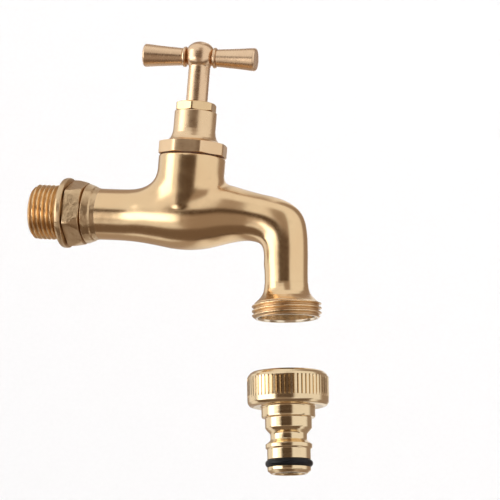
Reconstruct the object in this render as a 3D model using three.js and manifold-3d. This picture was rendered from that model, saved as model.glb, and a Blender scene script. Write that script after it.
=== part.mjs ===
// Brass garden bib tap with a screw-on hose connector.
//
// Units are millimetres. The origin is the centre of the inlet's end face, +X runs from the wall
// into the tap and +Z runs up the spindle. The outlet hangs down and splays slightly outwards, and
// the hose connector waits below it on the same axis, unscrewed.

import * as THREE from 'three';
import { mergeVertices } from 'three/addons/utils/BufferGeometryUtils.js';
import Module from 'manifold-3d';

const wasm = await Module();
wasm.setup();

// ---------------------------------------------------------------- driving dimensions

// Layout of the three axes.
const STEM_X = 61.5;
const OUTLET_X = 100.4;
const OUTLET_SPLAY = THREE.MathUtils.degToRad(5.5);
const OUTLET_FACE = -37.25;

// Threads. Radii are those of the male thread, and the female ones add a clearance.
const INLET_THREAD = { crest: 10.48, root: 9.32, pitch: 1.814 };
const OUTLET_THREAD = { crest: 13.22, root: 12.06, pitch: 1.814 };
const BONNET_THREAD = { crest: 10.0, root: 9.1, pitch: 1.5 };
const SPINDLE_THREAD = { crest: 6.0, root: 4.95, pitch: 2.0 };
const GLAND_THREAD = { crest: 6.5, root: 5.85, pitch: 1.0 };
const THREAD_CLEARANCE = 0.24;
const CORE = 0.45; // how far a bar inside a thread, or a bore through one, stays inside its root

// Inlet tail: thread, flange, spanner hexagon and collar, measured along +X.
const INLET_BORE = 6.25;
const INLET_THREAD_END = 11.2;
const FLANGE = { start: 12.1, end: 14.6, radius: 13.4 };
const SPANNER_HEX = { acrossFlats: 22.7, end: 21.3, turn: 33.35 };
const COLLAR = { start: 21.8, end: 25.0, radius: 11.5, endRadius: 10.2 };
const PIPE_RADIUS = 9.75;

// Neck and valve chamber, measured up +Z.
const NECK_RADIUS = 12.75;
const NECK_TOP = 23.15;
const CHAMBER = { radius: 8.9, floor: 0.8 };
const SEAT = { bore: 5.5, rim: 7.4, face: 2.0 };

// Bonnet, gland and spindle, measured up +Z.
const GASKET = { inner: 10.3, outer: 12.2, bottom: 23.2, top: 23.55 };
const BONNET = { acrossFlats: 25.0, bottom: 23.6, flatTop: 28.4, turn: 29.4, sleeve: 8.05, top: 40.6 };
const SPIGOT_BOTTOM = 12.6;
const SPINDLE_NUT_BOTTOM = 17.0;
const SPINDLE_NUT_TOP = 27.0;
const STUFFING_BOX = { radius: 5.4, bottom: 30.4, threadBottom: 36.0 };
const GLAND_NUT = { acrossFlats: 14.0, bottom: 40.75, top: 44.2, turn: 3.3, spigotBottom: 36.6 };
const PACKING = { pitch: 1.35, height: 1.2, gap: 0.1 };
const FOLLOWER = { bottom: 34.9, top: 36.45, dish: 0.35, gap: 0.15 };
const SHANK = 4.1;
const SHANK_GAP = 0.12;
const SPINDLE = { bottom: 8.0, threadBottom: 9.6, threadTop: 22.2, socket: 3.2, socketTop: 18.6 };
const BOSS = { radius: 5.5, crown: 4.6, bottom: 61.4, top: 63.3 };

// Turned handle arms, measured outwards from the spindle's axis.
const ARM = { height: 61.8, turn: 4, studStart: 1.4, studEnd: 5.15, bead: 5.9, start: 6.9, end: 21.95 };
const ARM_RADIUS = { stud: 1.9, neck: 2.2, bead: 3.95, start: 3.32, end: 4.4 };

// Valve that closes on the seat, measured up +Z with the tap shut.
const WASHER = { radius: 7.5, hole: 2.25, bottom: 2.1, top: 4.95 };
const JUMPER = { radius: 7.7, bottom: 5.1, top: 7.4, stud: 2.0, stem: 2.95, stemTop: 17.6, groove: 15.4 };
const WASHER_NUT = { acrossFlats: 8.0, bottom: -0.7, top: 1.95 };

// Hose connector, measured down the outlet axis from its own top rim.
const CONNECTOR_RIM = -57.55;
const COLLAR_RADIUS = 15.4;
const KNURL = { top: 2.4, bottom: 10.0, ribs: 60, depth: 0.55 };
const SOCKET = { depth: 10.4, undercut: 8.2 };
const NOZZLE_BORE = 5.2;
const NOZZLE_LENGTH = 38.6;
const O_RING = { centre: 34.7, radius: 7.6, section: 1.4 };
const HOSE_WASHER = { outer: 12.9, inner: 7.0, thickness: 2.3 };

// Facets round a turned surface.
const LARGE = 24;
const MEDIUM = 16;
const SMALL = 16;

// ---------------------------------------------------------------- finishes

function finish(color, roughness, metalness) {
  return new THREE.MeshStandardMaterial({ color, roughness, metalness });
}

const castBrass = finish(0xc9a46a, 0.32, 1.0);
const turnedBrass = finish(0xd8b47a, 0.2, 1.0);
const rubber = finish(0x1b1c20, 0.7, 0.0);
const fibre = finish(0x7a3b2a, 0.85, 0.0);
const graphite = finish(0x3a3a3c, 0.6, 0.2);
const springSteel = finish(0xb8bcc2, 0.3, 1.0);

// ---------------------------------------------------------------- solids from geometry

function solidOf(geometry) {
  const bare = geometry.clone();
  bare.deleteAttribute('normal');
  bare.deleteAttribute('uv');
  const merged = mergeVertices(bare, 1e-4);
  const mesh = new wasm.Mesh({
    numProp: 3,
    vertProperties: new Float32Array(merged.attributes.position.array),
    triVerts: new Uint32Array(merged.index.array),
  });
  return new wasm.Manifold(mesh);
}

function geometryOf(solid) {
  const mesh = solid.getMesh();
  const geometry = new THREE.BufferGeometry();
  geometry.setAttribute('position', new THREE.BufferAttribute(new Float32Array(mesh.vertProperties), 3));
  geometry.setIndex(new THREE.BufferAttribute(new Uint32Array(mesh.triVerts), 1));
  geometry.computeVertexNormals();
  return geometry;
}

function join(...geometries) {
  return geometries.map(solidOf).reduce((whole, piece) => whole.add(piece));
}

// A turned shape: the profile is a list of [radius, height], going up its outer side.
function turned(profile, facets = LARGE) {
  const points = profile.map(([radius, height]) => new THREE.Vector2(radius, height));
  return new THREE.LatheGeometry(points, facets).rotateX(Math.PI / 2);
}

function turnedBar(radius, bottom, top, facets = LARGE) {
  return turned([[0, bottom], [radius, bottom], [radius, top], [0, top]], facets);
}

function turnedRing(inner, outer, bottom, top, facets = LARGE) {
  return turned([[inner, bottom], [outer, bottom], [outer, top], [inner, top], [inner, bottom]], facets);
}

// A polygonal bar. Its first corner lies `turn` degrees round from -Y towards +X.
function polygonBar(sides, acrossFlats, bottom, top, turn) {
  const corner = acrossFlats / 2 / Math.cos(Math.PI / sides);
  const bar = new THREE.CylinderGeometry(corner, corner, top - bottom, sides);
  bar.rotateX(Math.PI / 2).rotateZ(THREE.MathUtils.degToRad(turn));
  return bar.translate(0, 0, (bottom + top) / 2);
}

// Triangles between rows of points that are already in order, with a fan over each open end.
function skin(points, triangles) {
  const geometry = new THREE.BufferGeometry().setFromPoints(points);
  geometry.setIndex(triangles);
  return geometry;
}

// A tube of elliptical rings. Each section is { centre, u, v }, with u x v along the tube.
function loft(sections, facets = LARGE) {
  const points = [];
  const triangles = [];
  for (const { centre, u, v } of sections) {
    for (let j = 0; j < facets; j += 1) {
      const angle = (2 * Math.PI * j) / facets;
      const point = centre.clone().addScaledVector(u, Math.cos(angle));
      points.push(point.addScaledVector(v, Math.sin(angle)));
    }
  }
  for (let i = 0; i + 1 < sections.length; i += 1) {
    for (let j = 0; j < facets; j += 1) {
      const next = (j + 1) % facets;
      const [a, b] = [i * facets + j, i * facets + next];
      const [c, d] = [b + facets, a + facets];
      triangles.push(a, b, c, a, c, d);
    }
  }
  const firstCentre = points.push(sections[0].centre) - 1;
  const lastCentre = points.push(sections.at(-1).centre) - 1;
  const lastRing = (sections.length - 1) * facets;
  for (let j = 0; j < facets; j += 1) {
    const next = (j + 1) % facets;
    triangles.push(firstCentre, next, j);
    triangles.push(lastCentre, lastRing + j, lastRing + next);
  }
  return skin(points, triangles);
}

// A right-hand threaded bar, longer than bottom..top by about a turn at each end. Every bar made
// in one frame has its crests on the same helix, so a male thread and its nut are in mesh.
function threadedBar(thread, bottom, top, facets = MEDIUM) {
  const { crest, root, pitch } = thread;
  const profile = [[0, root], [pitch / 2, crest]];
  const firstTurn = Math.floor(bottom / pitch) - 1;
  const steps = (Math.ceil(top / pitch) + 1 - firstTurn) * facets;
  const rows = profile.length;
  const points = [];
  const triangles = [];
  for (let i = 0; i <= steps + facets; i += 1) {
    const angle = (2 * Math.PI * (i % facets)) / facets;
    const base = pitch * (firstTurn + i / facets);
    for (const [rise, radius] of profile) {
      points.push(new THREE.Vector3(radius * Math.cos(angle), radius * Math.sin(angle), base + rise));
    }
  }
  const at = (i, k) => (k === rows ? (i + facets) * rows : i * rows + k);
  for (let i = 0; i < steps; i += 1) {
    for (let k = 0; k < rows; k += 1) {
      triangles.push(at(i, k), at(i + 1, k), at(i + 1, k + 1), at(i, k), at(i + 1, k + 1), at(i, k + 1));
    }
  }
  const bottomCentre = points.push(new THREE.Vector3(0, 0, pitch * (firstTurn - 1))) - 1;
  const topCentre = points.push(new THREE.Vector3(0, 0, pitch * (firstTurn + steps / facets + 2))) - 1;
  for (let i = 0; i < facets; i += 1) {
    triangles.push(bottomCentre, at(i + 1, 0), at(i, 0));
    triangles.push(topCentre, at(steps + i, 0), at(steps + i + 1, 0));
  }
  for (let k = 0; k < rows; k += 1) {
    triangles.push(bottomCentre, at(0, k), at(0, k + 1));
    triangles.push(topCentre, at(steps, k + 1), at(steps, k));
  }
  return skin(points, triangles);
}

// A male thread between two heights, its ends bevelled to the root.
function maleThread(thread, bottom, top, facets = MEDIUM) {
  const { crest, root } = thread;
  const bevel = crest - root;
  const envelope = turned([
    [0, bottom], [root, bottom], [crest + 0.1, bottom + bevel],
    [crest + 0.1, top - bevel], [root, top], [0, top],
  ], facets);
  return solidOf(threadedBar(thread, bottom, top, facets)).intersect(solidOf(envelope));
}

// The space that a nut of this thread leaves open between two heights.
function femaleThread(thread, bottom, top, facets = MEDIUM) {
  const crest = thread.crest + THREAD_CLEARANCE;
  const wider = { ...thread, crest, root: thread.root + THREAD_CLEARANCE };
  const envelope = turnedBar(crest + 0.5, bottom, top, facets);
  return solidOf(threadedBar(wider, bottom, top, facets)).intersect(solidOf(envelope));
}

function named(name, shape, material) {
  const geometry = shape.isBufferGeometry ? shape : geometryOf(shape);
  const mesh = new THREE.Mesh(geometry, material);
  mesh.name = name;
  return mesh;
}

// Geometry made up +Z, laid along +X.
const layAlongX = (geometry) => geometry.rotateY(Math.PI / 2);

// Geometry made in the outlet's frame, +Z up the outlet axis, put in its place on the tap.
const outletMatrix = new THREE.Matrix4()
  .makeRotationY(-OUTLET_SPLAY)
  .setPosition(OUTLET_X, 0, 0);

// Geometry made on the Z axis, put on the stem's axis.
const onStem = (geometry) => geometry.translate(STEM_X, 0, 0);

// ---------------------------------------------------------------- body casting

// One ring of the waterway or of its outside, from its lower and upper points in the XZ plane.
function ringBetween(lower, upper, halfWidth) {
  const low = new THREE.Vector3(lower[0], 0, lower[1]);
  const high = new THREE.Vector3(upper[0], 0, upper[1]);
  return {
    centre: low.clone().add(high).multiplyScalar(0.5),
    u: high.sub(low).multiplyScalar(0.5),
    v: new THREE.Vector3(0, -halfWidth, 0),
  };
}

// A ring square to the outlet axis, at a height along it.
function outletRing(height, radius) {
  const centre = new THREE.Vector3(0, 0, height).applyMatrix4(outletMatrix);
  const u = new THREE.Vector3(radius, 0, 0).transformDirection(outletMatrix).multiplyScalar(radius);
  return { centre, u, v: new THREE.Vector3(0, -radius, 0) };
}

function castOutside() {
  const straight = [24, 36].map((x) => ringBetween([x, -PIPE_RADIUS], [x, PIPE_RADIUS], PIPE_RADIUS));
  const belly = [
    ringBetween([40.5, -10.0], [40.5, 10.1], 10.0),
    ringBetween([45, -10.45], [45, 11.0], 10.8),
    ringBetween([50, -11.15], [50, 11.6], 11.5),
    ringBetween([55.5, -12.0], [55.5, 12.1], 12.2),
    ringBetween([61, -12.45], [61, 12.6], 12.6),
    ringBetween([66.5, -12.1], [66.8, 12.9], 12.5),
    ringBetween([72, -11.05], [72.8, 13.0], 11.9),
    ringBetween([77, -9.65], [78.2, 12.7], 11.0),
  ];
  const spout = [
    ringBetween([81.5, -8.6], [83.2, 11.5], 10.0),
    ringBetween([85.5, -8.05], [88.0, 10.4], 9.2),
    ringBetween([88.3, -8.2], [92.6, 9.5], 8.9),
    ringBetween([90.5, -8.75], [97.0, 8.6], 8.75),
    ringBetween([92.0, -9.8], [101.0, 7.2], 8.6),
    ringBetween([92.85, -11.3], [104.6, 5.0], 8.4),
    ringBetween([93.25, -12.9], [107.2, 1.8], 8.3),
    ringBetween([93.5, -14.7], [108.7, -2.5], 8.25),
    ringBetween([93.6, -17.0], [109.7, -9.2], 8.2),
    outletRing(-19.5, 8.2),
    outletRing(OUTLET_FACE + 4.0, 8.2),
  ];
  return loft([...straight, ...belly, ...spout]);
}

function neckOutside() {
  const ring = (height, left, right, halfWidth) => ({
    centre: new THREE.Vector3(STEM_X + (right - left) / 2, 0, height),
    u: new THREE.Vector3((left + right) / 2, 0, 0),
    v: new THREE.Vector3(0, halfWidth, 0),
  });
  const r = NECK_RADIUS;
  return loft([
    ring(2.0, r + 5.2, r + 4.6, r - 0.3),
    ring(9.6, r + 4.0, r + 3.2, r - 0.2),
    ring(11.2, r + 2.9, r + 2.0, r - 0.1),
    ring(13.2, r + 1.7, r + 0.9, r),
    ring(15.6, r + 0.7, r + 0.25, r),
    ring(18.0, r + 0.2, r, r),
    ring(NECK_TOP - 0.5, r, r, r),
    ring(NECK_TOP, r - 0.5, r - 0.5, r - 0.5),
  ]);
}

// Undercut, flange and collar, without the thread and the hexagon.
function inletOutside() {
  const { start, end, radius } = FLANGE;
  const edge = 0.45;
  const tail = INLET_THREAD.root - CORE;
  return layAlongX(turned([
    [0, INLET_THREAD_END - 1.5], [tail, INLET_THREAD_END - 1.5], [tail, start],
    [radius - edge, start], [radius, start + edge], [radius, end - edge], [radius - edge, end],
    [COLLAR.radius - 0.7, end], [COLLAR.radius - 0.7, COLLAR.start], [COLLAR.radius, COLLAR.start],
    [COLLAR.endRadius, COLLAR.end], [PIPE_RADIUS, COLLAR.end + 1.4], [0, COLLAR.end + 1.4],
  ]));
}

// The hexagon's corners towards the pipe are turned off on a cone.
function spannerHexagon() {
  const { acrossFlats, end, turn } = SPANNER_HEX;
  const flats = acrossFlats / 2;
  const corners = acrossFlats / Math.sqrt(3);
  const bar = solidOf(layAlongX(polygonBar(6, acrossFlats, FLANGE.end - 0.5, end, -turn)));
  const cone = layAlongX(turned([
    [0, FLANGE.end - 0.5], [corners + 0.1, FLANGE.end - 0.5], [corners + 0.1, end - 5.7],
    [flats + 0.45, end], [0, end],
  ], 48));
  return bar.intersect(solidOf(cone));
}

function outletOutside() {
  const top = OUTLET_FACE + 5.9;
  const core = OUTLET_THREAD.root - CORE;
  const flare = turned([
    [0, OUTLET_FACE + 1.0], [core, OUTLET_FACE + 1.0], [core, top], [11.5, top + 0.6],
    [10.8, top + 1.2], [9.9, top + 2.2], [8.85, top + 3.7], [8.35, top + 5.0], [8.2, top + 6.2],
    [0, top + 6.2],
  ]);
  const thread = geometryOf(maleThread(OUTLET_THREAD, OUTLET_FACE, top, LARGE));
  return join(flare.applyMatrix4(outletMatrix), thread.applyMatrix4(outletMatrix));
}

// The waterway: in under the seat, up through it, and out over the partition to the outlet.
function waterways() {
  const inlet = loft([
    ringBetween([-1, -INLET_BORE], [-1, INLET_BORE], INLET_BORE),
    ringBetween([40, -INLET_BORE], [40, INLET_BORE], INLET_BORE),
    ringBetween([45, -6.9], [45.5, 5.0], 6.2),
    ringBetween([49.5, -8.2], [51, 1.5], 5.8),
    ringBetween([55, -9.3], [55.5, -1.4], 5.6),
    ringBetween([61, -9.5], [61, -1.6], 5.5),
  ], MEDIUM);
  const underSeat = onStem(turned([
    [0, -9.4], [4.2, -9.2], [5.9, -7.8], [5.9, -2.4], [SEAT.bore, -1.6], [SEAT.bore, 3], [0, 3],
  ], MEDIUM));
  const { radius, floor } = CHAMBER;
  const chamber = onStem(turned([
    [SEAT.bore - 1, SEAT.face], [SEAT.rim - 0.4, SEAT.face], [SEAT.rim, floor], [radius - 0.6, floor],
    [radius, floor + 0.6], [radius, NECK_TOP + 1], [SEAT.bore - 1, NECK_TOP + 1], [SEAT.bore - 1, SEAT.face],
  ], MEDIUM));
  const core = onStem(turnedBar(SEAT.bore, 1, NECK_TOP + 1, MEDIUM));
  const outlet = loft([
    ringBetween([63, 1.4], [63, 11.2], 5.6),
    ringBetween([74, 0.0], [75, 10.2], 5.6),
    ringBetween([82, -3.6], [83.5, 8.0], 5.9),
    ringBetween([87.5, -5.4], [90.5, 7.0], 6.0),
    ringBetween([91.6, -6.5], [97.0, 5.6], 6.0),
    ringBetween([94.0, -8.6], [102.0, 3.2], 6.0),
    ringBetween([95.2, -11.2], [105.6, -1.2], 6.0),
    ringBetween([95.7, -14.4], [107.0, -8.0], 6.0),
    outletRing(-18, 5.9),
    outletRing(OUTLET_FACE - 1, 5.9),
  ], MEDIUM);
  const mouth = turned([
    [0, OUTLET_FACE - 1], [11.6, OUTLET_FACE - 1], [10.8, OUTLET_FACE + 0.7], [10.8, OUTLET_FACE + 4.2],
    [5.8, OUTLET_FACE + 6.0], [0, OUTLET_FACE + 6.0],
  ]).applyMatrix4(outletMatrix);
  return join(inlet, underSeat, chamber, core, outlet, mouth);
}

function bodyCasting() {
  const inletThread = geometryOf(maleThread(INLET_THREAD, 0, INLET_THREAD_END));
  const neckThread = femaleThread(BONNET_THREAD, SPIGOT_BOTTOM - 1, NECK_TOP + 1, SMALL);
  const outside = join(castOutside(), neckOutside(), inletOutside(), layAlongX(inletThread))
    .add(spannerHexagon())
    .add(outletOutside());
  return outside.subtract(waterways()).subtract(solidOf(onStem(geometryOf(neckThread))));
}

// ---------------------------------------------------------------- bonnet and gland

function bonnet() {
  const { acrossFlats, bottom, flatTop, turn, sleeve, top } = BONNET;
  const flats = acrossFlats / 2;
  const spigotRoot = BONNET_THREAD.root - CORE;
  const outside = solidOf(turned([
    [0, SPIGOT_BOTTOM], [spigotRoot - 0.5, SPIGOT_BOTTOM], [spigotRoot, SPIGOT_BOTTOM + 0.5],
    [spigotRoot, bottom], [flats - 0.3, bottom], [flats - 0.3, flatTop - 0.2], [10.6, flatTop],
    [9.4, flatTop + 0.8], [8.55, flatTop + 2.2], [sleeve, flatTop + 4.4],
    [sleeve, top - 0.5], [sleeve - 0.5, top], [0, top],
  ]));
  const octagon = solidOf(polygonBar(8, acrossFlats, bottom, flatTop, turn));
  const corners = flats / Math.cos(Math.PI / 8);
  const cone = turned([
    [0, bottom], [corners + 0.1, bottom], [corners + 0.1, flatTop - 0.35], [10.6, flatTop], [0, flatTop],
  ]);
  const relief = SPINDLE_THREAD.crest + 0.4;
  const nutBore = SPINDLE_THREAD.root + THREAD_CLEARANCE - CORE;
  const inside = solidOf(turned([
    [0, SPIGOT_BOTTOM - 1], [relief, SPIGOT_BOTTOM - 1], [relief, SPINDLE_NUT_BOTTOM - 1.2],
    [nutBore, SPINDLE_NUT_BOTTOM], [nutBore, SPINDLE_NUT_TOP],
    [SHANK + SHANK_GAP, SPINDLE_NUT_TOP + 0.8], [SHANK + SHANK_GAP, STUFFING_BOX.bottom],
    [STUFFING_BOX.radius, STUFFING_BOX.bottom], [STUFFING_BOX.radius, top + 1], [0, top + 1],
  ], MEDIUM));
  return outside
    .add(octagon.intersect(solidOf(cone)))
    .add(maleThread(BONNET_THREAD, SPIGOT_BOTTOM, bottom - 0.9, SMALL))
    .subtract(inside)
    .subtract(femaleThread(SPINDLE_THREAD, SPINDLE_NUT_BOTTOM - 1.4, SPINDLE_NUT_TOP, SMALL))
    .subtract(femaleThread(GLAND_THREAD, STUFFING_BOX.threadBottom, top + 1, SMALL));
}

function glandNut() {
  const { acrossFlats, bottom, top, turn, spigotBottom } = GLAND_NUT;
  const corners = acrossFlats / Math.sqrt(3);
  const hexagon = solidOf(polygonBar(6, acrossFlats, bottom, top, turn));
  const crown = turned([
    [0, bottom], [corners + 0.1, bottom], [corners + 0.1, top - 0.75], [acrossFlats / 2 - 0.3, top],
    [0, top],
  ]);
  const spigot = turnedBar(GLAND_THREAD.root - CORE, spigotBottom, bottom + 0.5, MEDIUM);
  const bore = turnedBar(SHANK + SHANK_GAP, spigotBottom - 1, top + 1, MEDIUM);
  return hexagon.intersect(solidOf(crown))
    .add(solidOf(spigot))
    .add(maleThread(GLAND_THREAD, spigotBottom, bottom - 0.4, SMALL))
    .subtract(solidOf(bore));
}

// A ring whose lower face is dished, so that it presses the packing against the spindle.
function glandFollower() {
  const { bottom, top, dish, gap } = FOLLOWER;
  const inner = SHANK + SHANK_GAP;
  const outer = STUFFING_BOX.radius - gap;
  return turned([
    [inner, bottom - dish], [outer, bottom], [outer, top], [inner, top], [inner, bottom - dish],
  ], MEDIUM);
}

// Three square rings of packing, one above another.
function packingRings() {
  const { pitch, height, gap } = PACKING;
  const places = { lower: 0, middle: 1, upper: 2 };
  return Object.entries(places).map(([place, index]) => {
    const bottom = STUFFING_BOX.bottom + gap + index * pitch;
    const shape = turnedRing(SHANK + SHANK_GAP, STUFFING_BOX.radius - gap, bottom, bottom + height, MEDIUM);
    return named(`packing_ring_${place}`, shape, graphite);
  });
}

// ---------------------------------------------------------------- spindle and handle

// The boss that holds the arms: swelling from the shank, short and straight, then a domed crown.
function bossProfile(steps) {
  const { radius, crown, bottom, top } = BOSS;
  const first = Math.asin(SHANK / radius);
  const profile = [];
  for (let i = 0; i <= steps; i += 1) {
    const angle = first + ((Math.PI / 2 - first) * i) / steps;
    profile.push([radius * Math.sin(angle), bottom - crown * Math.cos(angle)]);
  }
  for (let i = 0; i <= steps; i += 1) {
    const angle = ((Math.PI / 2) * i) / steps;
    profile.push([i === steps ? 0 : radius * Math.cos(angle), top + crown * Math.sin(angle)]);
  }
  return profile;
}

function spindle() {
  const { bottom, threadBottom, threadTop, socket, socketTop } = SPINDLE;
  const core = SPINDLE_THREAD.root - CORE;
  const bar = turned([
    [0, bottom], [core - 0.3, bottom], [core, bottom + 0.3], [core, threadTop],
    [SHANK, threadTop + 0.6], ...bossProfile(5),
  ], MEDIUM);
  const clipGroove = socket + 0.75;
  const clipBottom = JUMPER.groove - 0.2;
  const jumperSocket = turned([
    [0, bottom - 1], [socket, bottom - 1], [socket, clipBottom], [clipGroove, clipBottom],
    [clipGroove, clipBottom + 1.2], [socket, clipBottom + 1.2], [socket, socketTop],
    [0, socketTop + 1.2],
  ], MEDIUM);
  const hole = ARM_RADIUS.stud + 0.15;
  const seat = ARM_RADIUS.bead + 0.15;
  const face = ARM.studEnd - 0.05;
  const armHole = layAlongX(turned([
    [0, -7], [seat, -7], [seat, -face], [hole, -face], [hole, face], [seat, face], [seat, 7], [0, 7],
  ], 16)).rotateZ(THREE.MathUtils.degToRad(ARM.turn)).translate(0, 0, ARM.height);
  return solidOf(bar)
    .add(maleThread(SPINDLE_THREAD, threadBottom, threadTop, SMALL))
    .subtract(solidOf(jumperSocket))
    .subtract(solidOf(armHole));
}

// One turned arm along +X: a stud, a narrow neck, a bead and a taper that swells outwards.
function handleArm() {
  const { studStart, studEnd, bead, start, end } = ARM;
  const { stud, neck, bead: beadRadius, start: startRadius, end: endRadius } = ARM_RADIUS;
  const edge = 0.5;
  const middle = (start + end) / 2;
  return layAlongX(turned([
    [0, studStart], [stud - 0.3, studStart], [stud, studStart + 0.3], [stud, studEnd], [neck, studEnd + 0.05],
    [beadRadius - 0.35, bead - 0.6], [beadRadius, bead - 0.2], [beadRadius, bead + 0.2],
    [beadRadius - 0.35, bead + 0.6], [startRadius - 0.1, start - 0.2], [startRadius, start],
    [startRadius + 0.5, middle], [endRadius, end - edge],
    [endRadius - edge * 0.3, end - edge * 0.3], [endRadius - edge, end], [0, end],
  ], MEDIUM));
}

function handle() {
  const right = named('handle_arm_right', handleArm(), turnedBrass);
  const left = named('handle_arm_left', handleArm(), turnedBrass);
  left.rotation.z = Math.PI;
  const arms = new THREE.Group();
  arms.position.z = ARM.height;
  arms.rotation.z = THREE.MathUtils.degToRad(ARM.turn);
  arms.add(right, left);
  return arms;
}

// A spring ring with a gap, which keeps the jumper in the spindle.
function jumperClip() {
  const bottom = JUMPER.groove + 0.05;
  const ring = solidOf(turnedRing(2.6, SPINDLE.socket + 0.5, bottom, bottom + 0.7, MEDIUM));
  const gap = new THREE.BoxGeometry(3, 1.4, 4).translate(SPINDLE.socket, 0, JUMPER.groove);
  return ring.subtract(solidOf(gap));
}

// ---------------------------------------------------------------- valve

function jumper() {
  const { radius, bottom, top, stud, stem, stemTop, groove } = JUMPER;
  const studBottom = WASHER_NUT.bottom - 0.7;
  return turned([
    [0, studBottom], [stud - 0.4, studBottom], [stud, studBottom + 0.4], [stud, bottom],
    [radius - 0.3, bottom], [radius, bottom + 0.3], [radius, top - 0.5], [radius - 0.5, top],
    [stem + 0.2, top], [stem, top + 0.3], [stem, groove - 0.15], [stem - 0.6, groove - 0.15],
    [stem - 0.6, groove + 0.95], [stem, groove + 0.95], [stem, stemTop - 0.5], [stem - 0.5, stemTop],
    [0, stemTop],
  ], MEDIUM);
}

function valveWasher() {
  const { radius, hole, bottom, top } = WASHER;
  return turned([
    [hole, bottom], [radius - 0.4, bottom], [radius, bottom + 0.4], [radius, top], [hole, top],
    [hole, bottom],
  ], MEDIUM);
}

function washerNut() {
  const { acrossFlats, bottom, top } = WASHER_NUT;
  const hole = turnedBar(JUMPER.stud + 0.15, bottom - 1, top + 1, MEDIUM);
  return solidOf(polygonBar(6, acrossFlats, bottom, top, 0)).subtract(solidOf(hole));
}

// ---------------------------------------------------------------- hose connector

// The collar's straight knurl: ribs all the way round.
function knurledBand() {
  const { top, bottom, ribs, depth } = KNURL;
  const outer = COLLAR_RADIUS;
  const inner = outer - depth;
  const pitch = (2 * Math.PI) / ribs;
  const outline = new THREE.Shape();
  outline.moveTo(inner, 0);
  for (let i = 0; i < ribs; i += 1) {
    for (const [share, radius] of [[0.5, outer], [1, inner]]) {
      const angle = pitch * (i + share);
      outline.lineTo(radius * Math.cos(angle), radius * Math.sin(angle));
    }
  }
  outline.closePath();
  const band = new THREE.ExtrudeGeometry(outline, { depth: bottom - top, bevelEnabled: false });
  return band.translate(0, 0, -bottom);
}

function connectorOutside() {
  const core = COLLAR_RADIUS - KNURL.depth - 0.1;
  return turned([
    [0, -NOZZLE_LENGTH], [6.8, -NOZZLE_LENGTH], [8.2, -37.3], [8.2, -36.15], [6.05, -36.15],
    [6.05, -33.25], [8.2, -33.25], [8.2, -29.3], [8.8, -28.8], [8.8, -27.4], [6.95, -25.8],
    [6.85, -23.8], [8.35, -21.8], [8.8, -21.3], [8.8, -17.6], [9.9, -17.4], [10.15, -17.0],
    [10.15, -13.1], [13.2, -13.3], [14.5, -12.9], [15.2, -12.0], [COLLAR_RADIUS, -11.2],
    [COLLAR_RADIUS, -KNURL.bottom], [core, -KNURL.bottom + 0.2], [core, -KNURL.top - 0.2],
    [COLLAR_RADIUS - 0.2, -KNURL.top], [15.0, -1.6], [14.2, -0.6], [13.2, -0.1], [12.6, 0], [0, 0],
  ]);
}

function connectorInside() {
  const threadRoot = OUTLET_THREAD.root + THREAD_CLEARANCE;
  const threadCrest = OUTLET_THREAD.crest + THREAD_CLEARANCE;
  const bore = threadRoot - CORE;
  const funnel = 9.4;
  return turned([
    [0, -NOZZLE_LENGTH - 1], [5.9, -NOZZLE_LENGTH - 1], [NOZZLE_BORE, -NOZZLE_LENGTH + 0.7],
    [NOZZLE_BORE, -15.6], [funnel, -SOCKET.depth - 0.4], [funnel, -SOCKET.depth],
    [threadCrest, -SOCKET.depth], [threadCrest, -SOCKET.undercut], [bore, -SOCKET.undercut + 0.8],
    [bore, -1.4], [threadRoot + 1.3, 0.4], [threadRoot + 1.3, 1], [0, 1],
  ]);
}

// The connector's thread is cut on the outlet's helix, which the outlet's frame fixes.
function hoseConnector() {
  const body = join(connectorOutside(), knurledBand()).subtract(solidOf(connectorInside()));
  const placed = solidOf(geometryOf(body).translate(0, 0, CONNECTOR_RIM));
  const socketFloor = CONNECTOR_RIM - SOCKET.undercut;
  return placed.subtract(femaleThread(OUTLET_THREAD, socketFloor, CONNECTOR_RIM + 1, LARGE));
}

function hoseWasher() {
  const { outer, inner, thickness } = HOSE_WASHER;
  const bottom = CONNECTOR_RIM - SOCKET.depth + 0.1;
  return turnedRing(inner, outer, bottom, bottom + thickness);
}

function oRing() {
  const { centre, radius, section } = O_RING;
  const turns = 10;
  const profile = [];
  for (let i = 0; i <= turns; i += 1) {
    const angle = (2 * Math.PI * (i % turns)) / turns;
    profile.push([radius + section * Math.cos(angle), CONNECTOR_RIM - centre + section * Math.sin(angle)]);
  }
  return turned(profile);
}

// ---------------------------------------------------------------- assembly

const stem = new THREE.Group();
stem.position.x = STEM_X;
stem.add(
  named('bonnet', bonnet(), castBrass),
  named('bonnet_gasket', turnedRing(GASKET.inner, GASKET.outer, GASKET.bottom, GASKET.top, MEDIUM), fibre),
  named('gland_nut', glandNut(), turnedBrass),
  named('gland_follower', glandFollower(), turnedBrass),
  ...packingRings(),
  named('spindle', spindle(), turnedBrass),
  named('jumper_clip', jumperClip(), springSteel),
  named('jumper', jumper(), turnedBrass),
  named('valve_washer', valveWasher(), rubber),
  named('washer_nut', washerNut(), turnedBrass),
  handle(),
);

const outletFrame = new THREE.Group();
outletFrame.position.x = OUTLET_X;
outletFrame.rotation.y = -OUTLET_SPLAY;
outletFrame.add(
  named('hose_connector', hoseConnector(), turnedBrass),
  named('connector_washer', hoseWasher(), rubber),
  named('connector_o_ring', oRing(), rubber),
);

const tap = new THREE.Group();
tap.add(named('body_casting', bodyCasting(), castBrass), stem, outletFrame);

export default tap;
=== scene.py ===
# Looks of a brass garden bib tap and its hose connector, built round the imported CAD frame.
#
# Meshes are made in millimetres and scaled to metres. A turned piece is a grid of rows along a
# profile and columns round an axis, so that threads, knurls and hexagons are changes of radius.
# The casting is the smooth union of a swept waterway and the valve neck.

import math

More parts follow.
